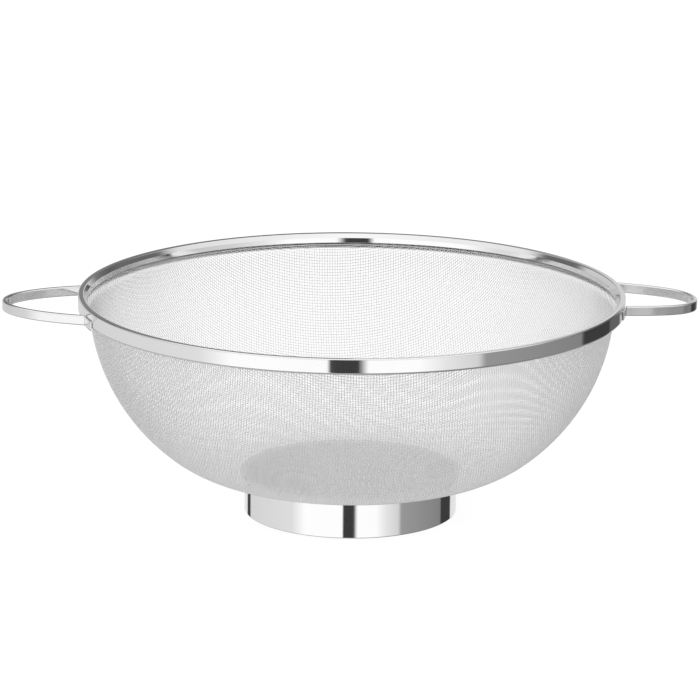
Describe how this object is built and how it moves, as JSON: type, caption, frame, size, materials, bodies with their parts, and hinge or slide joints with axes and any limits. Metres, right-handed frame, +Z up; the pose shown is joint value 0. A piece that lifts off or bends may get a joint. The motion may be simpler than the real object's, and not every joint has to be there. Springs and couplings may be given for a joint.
{
  "type": "colander",
  "caption": "Round wire-mesh colander bowl with a folded steel rim, a foot ring to stand on and a loop handle on each side, for rinsing and draining food.",
  "frame": {"origin": "centre of the foot ring's bottom plane, where the colander stands", "axes": "+Z up through the bowl's mouth, +X along the handles towards the right one, +Y away from the viewer"},
  "size_m": [0.306, 0.24, 0.0989],
  "materials": {
    "wire_cloth": "bright woven stainless wire cloth",
    "polished_rim": "polished stainless sheet",
    "drawn_wire": "drawn stainless wire",
    "polished_foot": "polished stainless sheet",
    "handle_strip": "polished stainless strip"
  },
  "bodies": {
    "root": {"mesh_bowl": "wire_cloth", "rim_channel": "polished_rim", "rim_hoop_wire": "drawn_wire", "foot_ring": "polished_foot", "left_handle": "handle_strip", "right_handle": "handle_strip"}
  },
  "joints": []
}
